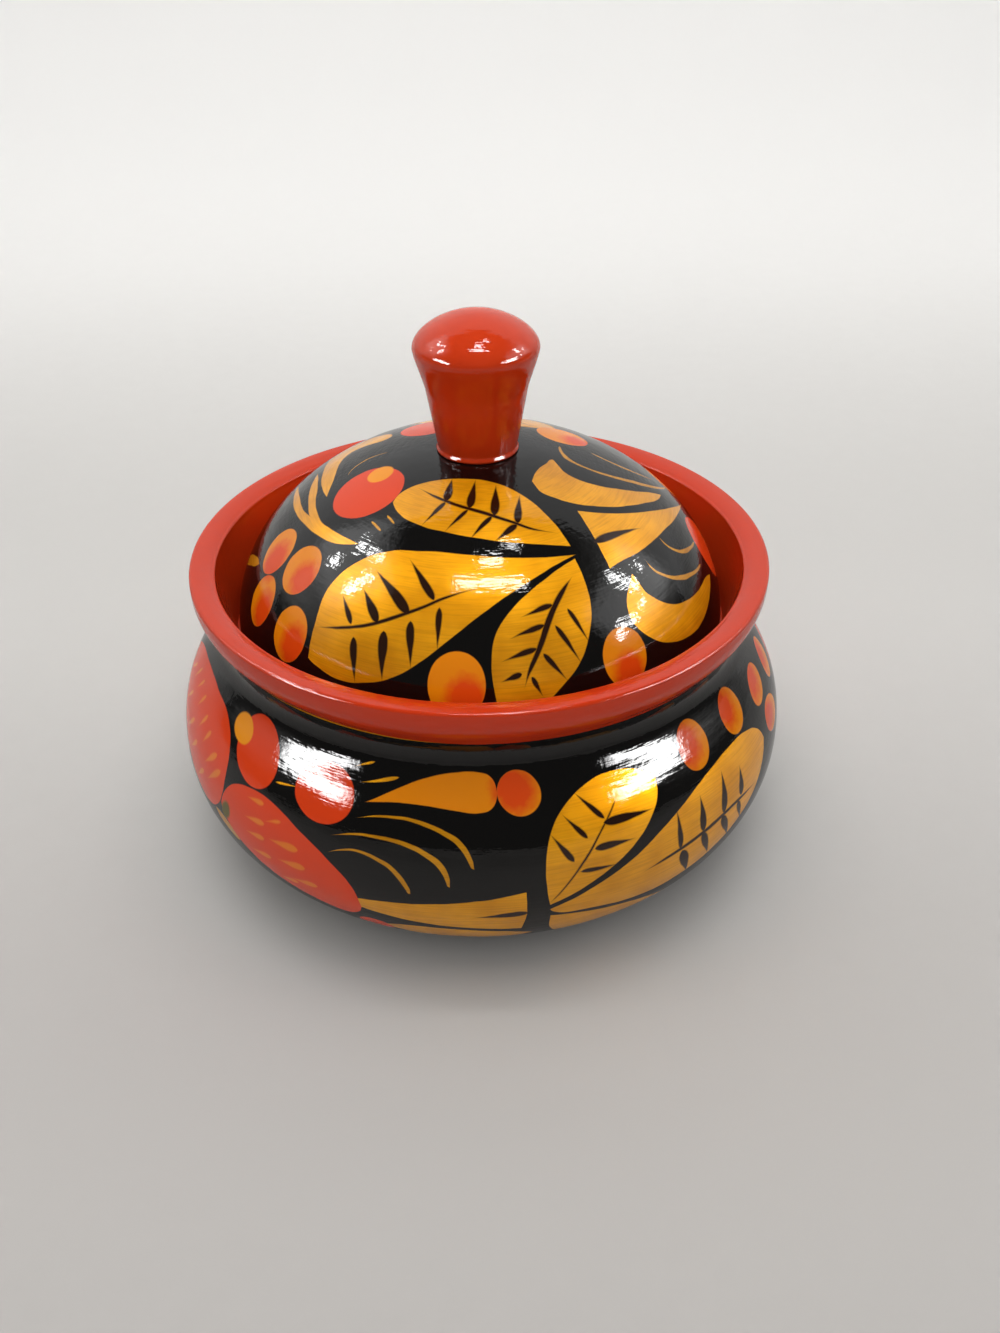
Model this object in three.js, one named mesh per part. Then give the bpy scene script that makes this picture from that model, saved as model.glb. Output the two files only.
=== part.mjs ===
// Lidded jar in turned and lacquered linden wood: a squat bowl on a low foot with a flared collar, a domed
// lid that drops inside the collar onto a ledge, and a knob glued into the lid by a round tenon.
// Millimetres, +Z up, with the origin at the centre of the foot's resting face.
import * as THREE from 'three';

// Bowl, outside, from the table up
const footRadius = 33.5;
const footHeight = 1.4;
const footRecessRadius = 27;
const footRecessDepth = 1.2;
const bellyRadius = 59;
const bellyHeight = 24;
const shoulderRise = 15;      // how far the belly stays full above its widest ring
const neckRadius = 49.6;
const neckHeight = 47;
const neckEase = 5;           // straight run of the outline on either side of the neck
const lipRadius = 54;
const lipHeight = 57.4;       // height of the lip's widest ring
const rimHeight = 59;         // height of the lip's outer top edge
const rimDip = 0.8;           // the lip's top slopes down to the mouth by this much
const lipRounding = 1.3;
const mouthRounding = 0.9;

// Bowl, inside, from the ledge down
const ledgeHeight = 45.4;
const ledgeWidth = 3;
const collarFlare = 2.7;      // the collar's inner wall opens by this much from the ledge to the lip
const throatLength = 2.5;
const bellyWall = 6;
const floorThickness = 8;
const flatFloorRadius = 20;
const innerShoulderRise = 11;

// Lid
const lidRadius = 46.1;
const lidClearance = 0.5;     // lid edge to the collar's inner wall
const seatGap = 0.3;          // lid rim to ledge, and knob shoulder to lid: the thickness of the lacquer
const lidHeight = 33.7;       // rim to the top of the dome, if the dome were whole
const lidRimWidth = 4.6;
const lidCrown = 7.5;         // wood left under the top of the dome

// Knob
const knobBaseRadius = 7;
const knobSeatMargin = 0.4;   // flat turned on the dome around the knob's shoulder
const stemTopRadius = 9;
const stemTopHeight = 11;
const stemEase = 2.2;         // how far the stem's slope carries on into the cap
const capRadius = 11.1;
const capWidestHeight = 18.7;
const capHeight = 6.1;        // from the cap's widest ring to its top
const capUnderCurve = 1.3;
const capShoulder = 3.2;      // how far the cap's side stands upright above its widest ring
const capFlat = 4.2;          // how far the cap's top stays level around the axis
const tenonRadius = 4.5;
const tenonLength = 4.6;
const glueGap = 0.3;          // tenon to the wall and the floor of its mortise

// Facets
const bowlSides = 48;
const knobSides = 32;
const curveSteps = 6;

const quarter = Math.PI / 2;

// Turns an outline about the vertical axis. It starts and ends on that axis and runs with the wood on its left.
function turned(name, outline, sides, material) {
  const geometry = new THREE.LatheGeometry(outline.getPoints(curveSteps), sides);
  geometry.rotateX(quarter);
  const mesh = new THREE.Mesh(geometry, material);
  mesh.name = name;
  return mesh;
}

const blackLacquer = new THREE.MeshStandardMaterial({ color: 0x1c1814, roughness: 0.15, metalness: 0 });
const redLacquer = new THREE.MeshStandardMaterial({ color: 0xb8321c, roughness: 0.2, metalness: 0 });

const seatRadius = lidRadius + lidClearance;
const lidBase = ledgeHeight + seatGap;

// The bowl: foot, full belly, drawn-in neck and flared collar outside; seat, ledge and hollow belly inside.
function jarBody() {
  const mouthRadius = seatRadius + collarFlare;
  const mouthHeight = rimHeight - rimDip;
  const throatRadius = seatRadius - ledgeWidth;
  const throatHeight = ledgeHeight - throatLength;
  const innerRadius = bellyRadius - bellyWall;

  const outline = new THREE.Path();
  outline.moveTo(0, footRecessDepth);
  outline.lineTo(footRecessRadius, footRecessDepth);
  outline.lineTo(footRecessRadius + footRecessDepth, 0);
  outline.lineTo(footRadius, 0);
  outline.lineTo(footRadius, footHeight);
  outline.absellipse(footRadius, bellyHeight, bellyRadius - footRadius, bellyHeight - footHeight, -quarter, 0);
  outline.bezierCurveTo(
    bellyRadius, bellyHeight + shoulderRise,
    neckRadius, neckHeight - neckEase,
    neckRadius, neckHeight,
  );
  outline.bezierCurveTo(
    neckRadius, neckHeight + neckEase,
    lipRadius, lipHeight - neckEase,
    lipRadius, lipHeight,
  );
  outline.quadraticCurveTo(lipRadius, rimHeight, lipRadius - lipRounding, rimHeight);
  outline.lineTo(mouthRadius + mouthRounding, mouthHeight);
  outline.quadraticCurveTo(mouthRadius, mouthHeight, mouthRadius, mouthHeight - mouthRounding);
  outline.lineTo(seatRadius, ledgeHeight);
  outline.lineTo(throatRadius, ledgeHeight);
  outline.lineTo(throatRadius, throatHeight);
  outline.bezierCurveTo(
    throatRadius, throatHeight - neckEase,
    innerRadius, bellyHeight + innerShoulderRise,
    innerRadius, bellyHeight,
  );
  outline.absellipse(
    flatFloorRadius, bellyHeight,
    innerRadius - flatFloorRadius, bellyHeight - floorThickness,
    0, -quarter, true,
  );
  outline.lineTo(0, floorThickness);
  return turned('jar_body', outline, bowlSides, blackLacquer);
}

// Height of the dome's outside at a distance from its axis.
function domeAt(radius) {
  return lidBase + lidHeight * Math.sqrt(1 - (radius / lidRadius) ** 2);
}

const knobSeatRadius = knobBaseRadius + knobSeatMargin;
const knobSeatHeight = domeAt(knobSeatRadius);

// The lid: a hollow half-ellipsoid with a flat rim below, and a flat seat with a blind mortise at the top.
function lid() {
  const hollowRadius = lidRadius - lidRimWidth;
  const hollowHeight = lidHeight - lidCrown;
  const mortiseRadius = tenonRadius + glueGap;
  const mortiseFloor = knobSeatHeight + seatGap - tenonLength - glueGap;
  const seatAngle = Math.acos(knobSeatRadius / lidRadius);

  const outline = new THREE.Path();
  outline.moveTo(0, lidBase + hollowHeight);
  outline.absellipse(0, lidBase, hollowRadius, hollowHeight, quarter, 0, true);
  outline.lineTo(lidRadius, lidBase);
  outline.absellipse(0, lidBase, lidRadius, lidHeight, 0, seatAngle);
  outline.lineTo(mortiseRadius, knobSeatHeight);
  outline.lineTo(mortiseRadius, mortiseFloor);
  outline.lineTo(0, mortiseFloor);
  return turned('lid', outline, bowlSides, blackLacquer);
}

// The knob: a tenon, a stem that widens upwards and a rounded cap.
function knob() {
  const shoulder = knobSeatHeight + seatGap;
  const stemSlope = (stemTopRadius - knobBaseRadius) / stemTopHeight;

  const outline = new THREE.Path();
  outline.moveTo(0, shoulder - tenonLength);
  outline.lineTo(tenonRadius, shoulder - tenonLength);
  outline.lineTo(tenonRadius, shoulder);
  outline.lineTo(knobBaseRadius, shoulder);
  outline.lineTo(stemTopRadius, shoulder + stemTopHeight);
  outline.bezierCurveTo(
    stemTopRadius + stemSlope * stemEase, shoulder + stemTopHeight + stemEase,
    capRadius, shoulder + capWidestHeight - capUnderCurve,
    capRadius, shoulder + capWidestHeight,
  );
  outline.bezierCurveTo(
    capRadius, shoulder + capWidestHeight + capShoulder,
    capFlat, shoulder + capWidestHeight + capHeight,
    0, shoulder + capWidestHeight + capHeight,
  );
  return turned('knob', outline, knobSides, redLacquer);
}

const jar = new THREE.Group();
jar.add(jarBody(), lid(), knob());

export default jar;
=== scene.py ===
import math

import bpy
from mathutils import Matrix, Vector


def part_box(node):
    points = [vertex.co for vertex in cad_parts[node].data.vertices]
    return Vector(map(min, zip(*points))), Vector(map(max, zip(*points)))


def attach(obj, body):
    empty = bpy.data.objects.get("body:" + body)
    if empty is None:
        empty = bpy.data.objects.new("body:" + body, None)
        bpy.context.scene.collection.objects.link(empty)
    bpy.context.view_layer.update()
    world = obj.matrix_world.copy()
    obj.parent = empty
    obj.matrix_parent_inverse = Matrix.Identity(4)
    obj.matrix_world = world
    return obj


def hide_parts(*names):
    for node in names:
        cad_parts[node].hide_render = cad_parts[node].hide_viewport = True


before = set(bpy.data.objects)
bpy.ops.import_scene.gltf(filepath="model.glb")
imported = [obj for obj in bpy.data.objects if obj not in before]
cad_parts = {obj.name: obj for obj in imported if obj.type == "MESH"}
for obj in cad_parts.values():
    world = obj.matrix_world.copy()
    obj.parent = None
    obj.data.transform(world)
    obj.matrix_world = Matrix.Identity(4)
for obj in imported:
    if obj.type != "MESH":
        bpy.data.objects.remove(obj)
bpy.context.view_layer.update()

# The studio: a sweep of pale matt paper that the jar stands on, soft lamps at the heights where the varnish
# shows them, and a camera that looks down at the jar from the front. None of it belongs to the jar.
mm = 0.001

focal_length_px = 1300
frame_height_px = 1333
camera_place = (3.7 * mm, -215.3 * mm, 179.2 * mm)
camera_tilt = math.radians(34.55)
camera_roll = -0.008
bpy.ops.object.camera_add(location=camera_place)
camera = bpy.context.object
camera.rotation_mode = "ZXY"
camera.rotation_euler = (math.pi / 2 - camera_tilt, 0, camera_roll)
camera.data.lens = camera.data.sensor_width * focal_length_px / frame_height_px
camera.data.clip_start = 0.01
bpy.context.scene.camera = camera
bpy.context.scene.view_settings.view_transform = "Standard"


def linear(hex_colour):
    """An sRGB hex colour as linear red, green, blue and alpha."""
    shares = [int(hex_colour[place : place + 2], 16) / 255 for place in (0, 2, 4)]
    bright = [share / 12.92 if share < 0.04045 else ((share + 0.055) / 1.055) ** 2.4 for share in shares]
    return (*bright, 1)


def add(tree, kind, sockets, **settings):
    """Adds a shader node with its settings. sockets gives each input a value, or the output that feeds it."""
    node = tree.nodes.new("ShaderNode" + kind)
    for name, value in settings.items():
        setattr(node, name, value)
    for name, value in sockets.items():
        if isinstance(value, bpy.types.NodeSocket):
            tree.links.new(value, node.inputs[name])
        else:
            node.inputs[name].default_value = value
    return node


def new_material(name):
    """An empty node material, with its tree."""
    material = bpy.data.materials.new(name)
    material.use_nodes = True
    material.node_tree.nodes.clear()
    return material, material.node_tree


def select_back_edge(mesh, ceiling):
    """Selects the edges at the back of the sweep whose corners lie below a ceiling."""
    for corner in mesh.vertices:
        corner.select = corner.co.y > 0 and corner.co.z < ceiling
    for edge in mesh.edges:
        edge.select = all(mesh.vertices[corner].select for corner in edge.vertices)
    for face in mesh.polygons:
        face.select = False


sweep_size = 3.2
sweep_back = 0.62
sweep_rise = 1.5
sweep_radius = 0.3
sweep_segments = 24
bpy.ops.object.select_all(action="DESELECT")
bpy.ops.mesh.primitive_plane_add(size=sweep_size, location=(0, sweep_back - sweep_size / 2, 0))
sweep = bpy.context.object
sweep.name = "paper_sweep"
bpy.ops.object.transform_apply(location=True)
select_back_edge(sweep.data, sweep_rise)
bpy.ops.object.mode_set(mode="EDIT")
bpy.ops.mesh.select_mode(type="EDGE")
bpy.ops.mesh.extrude_region_move(TRANSFORM_OT_translate={"value": (0, 0, sweep_rise)})
bpy.ops.object.mode_set(mode="OBJECT")
select_back_edge(sweep.data, sweep_rise)
bpy.ops.object.mode_set(mode="EDIT")
bpy.ops.mesh.bevel(offset=sweep_radius, segments=sweep_segments, affect="EDGES")
bpy.ops.mesh.select_all(action="SELECT")
bpy.ops.mesh.normals_make_consistent(inside=False)
bpy.ops.object.mode_set(mode="OBJECT")
bpy.ops.object.shade_smooth()

# Graduated backdrop paper, printed with a wash of grey: matt, with a faint mottle. It is white on the wall,
# greyest just in front of the jar and lighter again beyond that. In the varnish its wall shows as a painted
# reflection: a plain white glow that the paper itself gives off.
paper, tree = new_material("graduated_backdrop_paper")
mottle_size = 6 * mm
mottle_shift = 0.02
wash_reach = 0.5
wall_foot = 0.1
wall_start = 0.3
place = add(tree, "TexCoord", {}).outputs["Object"]
mottle = add(tree, "TexNoise", {"Vector": place, "Scale": 1 / mottle_size, "Detail": 4})
forward = add(tree, "SeparateXYZ", {0: place})
wavering = add(
    tree,
    "Math",
    {0: mottle.outputs["Fac"], 1: mottle_shift, 2: forward.outputs["Y"]},
    operation="MULTIPLY_ADD",
)
washed = add(
    tree, "MapRange", {"Value": wavering.outputs[0], "From Min": -wash_reach, "From Max": wash_reach}
)
shade = add(tree, "ValToRGB", {"Fac": washed.outputs[0]})
shade.color_ramp.interpolation = "EASE"
greys = ((0, "B0ADAA"), (0.28, "A09D9A"), (0.42, "B8B5B2"), (0.6, "CAC8C5"), (0.95, "F0EFED"))
stops = shade.color_ramp.elements
stops[1].position = greys[-1][0]
for spot, grey in greys[1:-1]:
    stops.new(spot)
for stop, (spot, grey) in zip(stops, greys):
    stop.color = linear(grey)
paper_shader = add(
    tree,
    "BsdfPrincipled",
    {"Base Color": shade.outputs["Color"], "Roughness": 0.95, "Specular IOR Level": 0.1},
)
# Painted reflection: reflected rays that meet the wall see a white glow in place of the lit paper.
glossy_ray = add(tree, "LightPath", {}).outputs["Is Glossy Ray"]
wall = add(tree, "MapRange", {"Value": forward.outputs["Z"], "From Min": wall_foot, "From Max": wall_start})
wall_in_reflections = add(tree, "Math", {0: glossy_ray, 1: wall.outputs[0]}, operation="MULTIPLY")
painted_wall_glow = add(tree, "Emission", {"Color": linear("FFFFFF"), "Strength": 1})
seen = add(tree, "MixShader", {0: wall_in_reflections.outputs[0], 1: paper_shader.outputs[0], 2: painted_wall_glow.outputs[0]})
add(tree, "OutputMaterial", {"Surface": seen.outputs[0]})
sweep.data.materials.append(paper)


# The light is soft and comes from above and from the front. The varnish also mirrors the lamps of the room:
# four beside the jar, of which the two high ones shine in patches, and three tubes overhead. The low ones
# light the bowl and the knob, and not the lid.
def add_lamp(name, place, turn, width, height, brightness):
    """A flat soft lamp. Its brightness is that of its face, where 1 shows as white."""
    bpy.ops.object.light_add(type="AREA", location=place, rotation=turn)
    lamp = bpy.context.object
    lamp.name = name
    lamp.data.shape = "RECTANGLE"
    lamp.data.size = width
    lamp.data.size_y = height
    lamp.data.energy = brightness * math.pi * width * height
    lamp.visible_camera = False
    return lamp


for name, place, lean, width, height, brightness in (
    ("soft_box", (0, -0.1, 1.3), 0, 1.1, 1.1, 2.3),
    ("front_box", (0, -0.95, 0.85), 50, 0.9, 0.9, 2.2),
    ("wall_lamp", (0, 0.1, 1.35), 55, 1.6, 0.25, 4.0),
):
    lamp = add_lamp(name, place, (math.radians(lean), 0, 0), width, height, brightness)
    lamp.visible_glossy = False

lit_by_low_lamps = bpy.data.collections.new("lit_by_low_lamps")
lamp_aim = Vector((0, 0, 0.05))
half_face = 0.5
edge_fades = (("X", 0.2), ("Y", 0.3))

# A patch is placed in metres from the middle of its lamp's face, with its radius. Between patches it is dim.
between_patches = 0.04
left_patches = (
    (-0.13, 0.075, 0.05),
    (-0.053, 0.139, 0.04),
    (0.012, 0.194, 0.04),
    (-0.073, -0.111, 0.045),
    (0.213, -0.033, 0.06),
    (0.182, 0.028, 0.05),
    (0.152, 0.099, 0.05),
)
right_patches = (
    (0.064, 0.198, 0.05),
    (0.069, 0.123, 0.055),
    (0.082, 0.029, 0.05),
    (0.015, -0.111, 0.035),
    (-0.157, -0.137, 0.05),
    (-0.254, -0.086, 0.055),
    (-0.329, -0.133, 0.05),
    (0.261, 0.025, 0.035),
)
for name, side, rise, distance, width, height, brightness, patches in (
    ("left_low_lamp", -63, 20.5, 0.6, 0.36, 0.13, 40, ()),
    ("left_high_lamp", -103, 45, 1.0, 0.8, 0.7, 45, left_patches),
    ("right_high_lamp", 90, 31, 1.0, 1.0, 0.7, 45, right_patches),
    ("right_low_lamp", 64, 21, 0.7, 0.43, 0.15, 40, ()),
):
    side, rise = math.radians(side), math.radians(rise)
    towards = Vector((math.sin(side) * math.cos(rise), -math.cos(side) * math.cos(rise), math.sin(rise)))
    facing = towards.to_track_quat("Z", "Y").to_euler()
    lamp = add_lamp(name, lamp_aim + towards * distance, facing, width, height, brightness)
    lamp.visible_diffuse = False
    lamp.data.use_nodes = True
    tree = lamp.data.node_tree
    face = add(tree, "NewGeometry", {}).outputs["Parametric"]
    sides = add(tree, "SeparateXYZ", {0: face})
    shine = 1
    for axis, fade in edge_fades:
        inward = add(tree, "Math", {0: sides.outputs[axis], 1: half_face}, operation="PINGPONG")
        faded = add(
            tree, "MapRange", {"Value": inward.outputs[0], "From Max": fade}, interpolation_type="SMOOTHSTEP"
        )
        shine = add(tree, "Math", {0: shine, 1: faded.outputs[0]}, operation="MULTIPLY").outputs[0]
    if patches:
        face_size = (width, height, 0)
        to_middle = (-width / 2, -height / 2, 0)
        on_face = add(tree, "VectorMath", {0: face, 1: face_size, 2: to_middle}, operation="MULTIPLY_ADD")
        glints = between_patches
        for x, y, radius in patches:
            away = add(tree, "VectorMath", {0: on_face.outputs[0], 1: (x, y, 0)}, operation="DISTANCE")
            glint = add(
                tree,
                "MapRange",
                {"Value": away.outputs["Value"], "From Min": radius, "From Max": radius / 2},
                interpolation_type="SMOOTHSTEP",
            )
            glints = add(tree, "Math", {0: glint.outputs[0], 1: glints}, operation="MAXIMUM").outputs[0]
        shine = add(tree, "Math", {0: shine, 1: glints}, operation="MULTIPLY").outputs[0]
    else:
        lamp.light_linking.receiver_collection = lit_by_low_lamps
    tree.links.new(shine, tree.nodes["Emission"].inputs["Strength"])

tube_height = 1.05
for name, x, y, width, height, brightness in (
    ("front_tube", 0.07, -0.23, 0.46, 0.08, 30),
    ("middle_tube", 0.06, -0.04, 0.14, 0.07, 30),
    ("back_tube", 0.17, 0.12, 0.10, 0.05, 30),
):
    lamp = add_lamp(name, (x, y, tube_height), (0, 0, 0), width, height, brightness)
    lamp.visible_diffuse = False

# The room: pale walls beside and behind the jar, and a dim ceiling and front. The camera sees an even grey.
wall_glow = 1.7
dim_glow = 0.14
seen_glow = 0.72
air = bpy.data.worlds.new("studio_air")
bpy.context.scene.world = air
air.use_nodes = True
tree = air.node_tree
direction = add(tree, "SeparateXYZ", {0: add(tree, "TexCoord", {}).outputs["Generated"]})
behind = add(tree, "MapRange", {"Value": direction.outputs["Y"], "From Min": -0.4, "From Max": 0.3})
low = add(tree, "MapRange", {"Value": direction.outputs["Z"], "From Min": 0.85, "From Max": 0.5})
above = add(tree, "MapRange", {"Value": direction.outputs["Z"], "From Min": 0.1, "From Max": 0.35})
wall = add(tree, "Math", {0: behind.outputs[0], 1: low.outputs[0]}, operation="MULTIPLY")
wall = add(tree, "Math", {0: wall.outputs[0], 1: above.outputs[0]}, operation="MULTIPLY")
glow = add(tree, "Math", {0: wall.outputs[0], 1: wall_glow, 2: dim_glow}, operation="MULTIPLY_ADD")
camera_ray = add(tree, "LightPath", {}).outputs["Is Camera Ray"]
shown = add(tree, "Mix", {0: camera_ray, 2: glow.outputs[0], 3: seen_glow}, data_type="FLOAT")
background = tree.nodes["Background"]
background.inputs["Color"].default_value = linear("ECEBE9")
tree.links.new(shown.outputs[0], background.inputs["Strength"])


# The bowl: one blank of linden wood, turned on a lathe to a squat belly on a low foot, with a flared collar
# and a ledge for the lid. Primed, rubbed with metal powder, painted, varnished and fired, which turns the
# metal gold.
def turn(name, start, strokes, zero_stroke, zero_mm):
    """Draws half of a section in mm, as (distance from the axis, height), and spins it about the axis.
    A stroke is an end point, then either nothing, the corner that it rounds, or two handles. The mesh keeps
    the length along the section as turned_mm, which is zero_mm where stroke number zero_stroke ends."""
    steps_per_stroke = 20
    turns = 192
    corner_share = 0.5523
    merge_distance = 0.001 * mm
    crease_angle = math.radians(40)
    bpy.ops.object.select_all(action="DESELECT")
    bpy.ops.curve.primitive_bezier_curve_add(location=(0, 0, 0))
    line = bpy.context.object
    line.name = name
    line.data.resolution_u = steps_per_stroke
    spline = line.data.splines[0]
    spline.resolution_u = steps_per_stroke
    spline.bezier_points.add(len(strokes) + 1 - len(spline.bezier_points))
    here = Vector(start)
    for number, (end, *pull) in enumerate(strokes):
        end = Vector(end)
        if len(pull) == 0:
            pull = (here.lerp(end, 1 / 3), end.lerp(here, 1 / 3))
        elif len(pull) == 1:
            pull = (here.lerp(Vector(pull[0]), corner_share), end.lerp(Vector(pull[0]), corner_share))
        before, after = spline.bezier_points[number], spline.bezier_points[number + 1]
        for knot in (before, after):
            knot.handle_left_type = "FREE"
            knot.handle_right_type = "FREE"
        before.co = (here.x * mm, 0, here.y * mm)
        before.handle_right = (pull[0][0] * mm, 0, pull[0][1] * mm)
        after.co = (end.x * mm, 0, end.y * mm)
        after.handle_left = (pull[1][0] * mm, 0, pull[1][1] * mm)
        here = end
    bpy.ops.object.convert(target="MESH")
    piece = bpy.context.object
    corners = [corner.co.copy() for corner in piece.data.vertices]
    lengths = [0]
    for near, far in zip(corners, corners[1:]):
        lengths.append(lengths[-1] + (far - near).length / mm)
    zero = lengths[(zero_stroke + 1) * steps_per_stroke] - zero_mm
    along = piece.data.attributes.new("turned_mm", "FLOAT", "POINT")
    along.data.foreach_set("value", [length - zero for length in lengths])
    bpy.ops.object.mode_set(mode="EDIT")
    bpy.ops.mesh.select_all(action="SELECT")
    bpy.ops.mesh.spin(steps=turns, angle=2 * math.pi, center=(0, 0, 0), axis=(0, 0, 1))
    bpy.ops.mesh.select_all(action="SELECT")
    bpy.ops.mesh.remove_doubles(threshold=merge_distance)
    bpy.ops.mesh.normals_make_consistent(inside=False)
    bpy.ops.object.mode_set(mode="OBJECT")
    bpy.ops.object.shade_smooth_by_angle(angle=crease_angle)
    return piece


bowl_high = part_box("jar_body")[1]
belly_radius = bowl_high.x / mm
rim_height = bowl_high.z / mm
belly_height = 24
foot_radius = 33.5
foot_height = 1.4
foot_recess_radius = 27
foot_recess_depth = 1.2
foot_rounding = 0.5
neck_radius = 49.6
neck_height = 47
neck_ease = 5
shoulder_rise = 15
lip_radius = 54
lip_height = 57.4
lip_rounding = 0.6
rim_dip = 0.8
mouth_radius = 49.3
mouth_rounding = 0.5
lip_crown = 0.25
mouth_height = rim_height - rim_dip
ledge_radius = 46.6
ledge_height = 45.4
ledge_rounding = 0.3
throat_radius = 43.6
throat_height = 42.9
hollow_radius = 53
hollow_floor = 8
hollow_floor_radius = 20
hollow_shoulder_rise = 11

bowl = turn(
    "turned_bowl",
    (0, foot_recess_depth),
    [
        [(foot_recess_radius, foot_recess_depth)],
        [(foot_recess_radius + foot_recess_depth, 0)],
        [(foot_radius - foot_rounding, 0)],
        [(foot_radius, foot_rounding), (foot_radius, 0)],
        [(foot_radius, foot_height)],
        [(belly_radius, belly_height), (belly_radius, foot_height)],
        [
            (neck_radius, neck_height),
            (belly_radius, belly_height + shoulder_rise),
            (neck_radius, neck_height - neck_ease),
        ],
        [
            (lip_radius, lip_height),
            (neck_radius, neck_height + neck_ease),
            (lip_radius, lip_height - neck_ease),
        ],
        [(lip_radius, rim_height - lip_rounding)],
        [(lip_radius - lip_rounding, rim_height), (lip_radius, rim_height)],
        [
            (mouth_radius + mouth_rounding, mouth_height),
            (lip_radius - 2 * lip_rounding, rim_height),
            (mouth_radius + 3 * mouth_rounding, mouth_height + rim_dip / 2 + lip_crown),
        ],
        [(mouth_radius, mouth_height - mouth_rounding), (mouth_radius, mouth_height)],
        [(ledge_radius, ledge_height)],
        [(throat_radius + ledge_rounding, ledge_height)],
        [(throat_radius, ledge_height - ledge_rounding), (throat_radius, ledge_height)],
        [(throat_radius, throat_height)],
        [
            (hollow_radius, belly_height),
            (throat_radius, throat_height - neck_ease),
            (hollow_radius, belly_height + hollow_shoulder_rise),
        ],
        [(hollow_floor_radius, hollow_floor), (hollow_radius, hollow_floor)],
        [(0, hollow_floor)],
    ],
    zero_stroke=6,
    zero_mm=0,
)

# How wide the brush is pressed along a stroke, as (share of the way, share of the full width). Most strokes
# are teardrops.
teardrop = ((0, 0), (0.06, 0.55), (0.3, 1), (0.7, 0.5), (1, 0))
vein = ((0, 0), (0.03, 0.45), (0.5, 1), (0.97, 0.45), (1, 0))
hook = ((0, 0), (0.1, 0.28), (0.5, 0.7), (0.9, 1), (0.97, 0.9), (1, 0))
blade = ((0, 0), (0.15, 0.75), (0.5, 1), (0.85, 0.7), (1, 0))


def laid_along(tree, spot, start, end):
    """Coordinates of one brush mark: X runs from 0 at start to 1 at end, Y is the mm to its left."""
    run = Vector(end) - Vector(start)
    turned = add(
        tree,
        "Mapping",
        {
            "Vector": spot,
            "Location": (*start, 0),
            "Rotation": (0, 0, math.atan2(run.y, run.x)),
            "Scale": (run.length, 1, 1),
        },
        vector_type="TEXTURE",
    )
    return add(tree, "SeparateXYZ", {0: turned.outputs[0]})


def on_run(point, start, end):
    """Where a point lies beside the line from start to end: share of its length, and mm to its left."""
    run = Vector(end) - Vector(start)
    offset = Vector(point) - Vector(start)
    return offset.dot(run) / run.length_squared, offset.dot(Vector((-run.y, run.x))) / run.length


def edge_curve(tree, share, knots, length, bend="AUTO"):
    """An edge through knots: a share of the mark's length, a distance in mm and, at a corner, "sharp".
    The curve is drawn in shares of the length both ways, so that its bends come out round."""
    curve = add(tree, "FloatCurve", {"Value": share})
    curve.mapping.use_clip = False
    line = curve.mapping.curves[0]
    line.points[0].location = (knots[0][0], knots[0][1] / length)
    line.points[1].location = (knots[-1][0], knots[-1][1] / length)
    for knot in knots[1:-1]:
        line.points.new(knot[0], knot[1] / length)
    for point, knot in zip(line.points, knots):
        point.handle_type = "VECTOR" if "sharp" in knot else bend
    curve.mapping.update()
    return add(tree, "Math", {0: curve.outputs[0], 1: length}, operation="MULTIPLY").outputs[0]


def shape(tree, spot, start, end, one_edge, other_edge):
    """A painted shape between two edges that run from start to end.
    Gives how far inside it a spot is, in mm."""
    axes = laid_along(tree, spot, start, end)
    edges = []
    for edge in (one_edge, other_edge):
        knots = [(*on_run(point[:2], start, end), *point[2:]) for point in edge]
        edges.append([(0, 0), *knots, (1, 0)])
    edges.sort(key=lambda knots: sum(knot[1] for knot in knots) / len(knots))
    length = (Vector(end) - Vector(start)).length
    right = edge_curve(tree, axes.outputs["X"], edges[0], length)
    left = edge_curve(tree, axes.outputs["X"], edges[1], length)
    from_right = add(tree, "Math", {0: axes.outputs["Y"], 1: right}, operation="SUBTRACT")
    from_left = add(tree, "Math", {0: left, 1: axes.outputs["Y"]}, operation="SUBTRACT")
    inside = add(tree, "Math", {0: from_left.outputs[0], 1: from_right.outputs[0]}, operation="MINIMUM")
    return inside.outputs[0]


def level(knots, share):
    """The height at a share of the way along a line of straight runs through knots."""
    for (near, low), (far, high) in zip(knots, knots[1:]):
        if share <= far:
            return low + (high - low) * (share - near) / (far - near)
    return knots[-1][1]


def brush_line(tree, spot, points, width, swell=teardrop):
    """One stroke of the brush through points, width mm at its widest. swell gives its width along the way.
    Gives how far inside it a spot is, in mm."""
    steepest = 2
    start, end = points[0], points[-1]
    axes = laid_along(tree, spot, start, end)
    length = (Vector(end) - Vector(start)).length
    knots = [on_run(point, start, end) for point in points]
    slants = []
    for number in range(len(knots)):
        before, after = knots[max(number - 1, 0)], knots[min(number + 1, len(knots) - 1)]
        slope = (after[1] - before[1]) / (after[0] - before[0]) / length
        slants.append((knots[number][0], min(math.hypot(1, slope), steepest)))
    shares = sorted({share for share, size in (*swell, *slants)})
    widths = [(share, level(swell, share) * level(slants, share) * width / 2) for share in shares]
    aside = axes.outputs["Y"]
    if len(points) > 2:
        bend = edge_curve(tree, axes.outputs["X"], knots, length)
        aside = add(tree, "Math", {0: aside, 1: bend}, operation="SUBTRACT").outputs[0]
    away = add(tree, "Math", {0: aside}, operation="ABSOLUTE")
    half = edge_curve(tree, axes.outputs["X"], widths, length, "AUTO_CLAMPED")
    return add(tree, "Math", {0: half, 1: away.outputs[0]}, operation="SUBTRACT").outputs[0]


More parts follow.
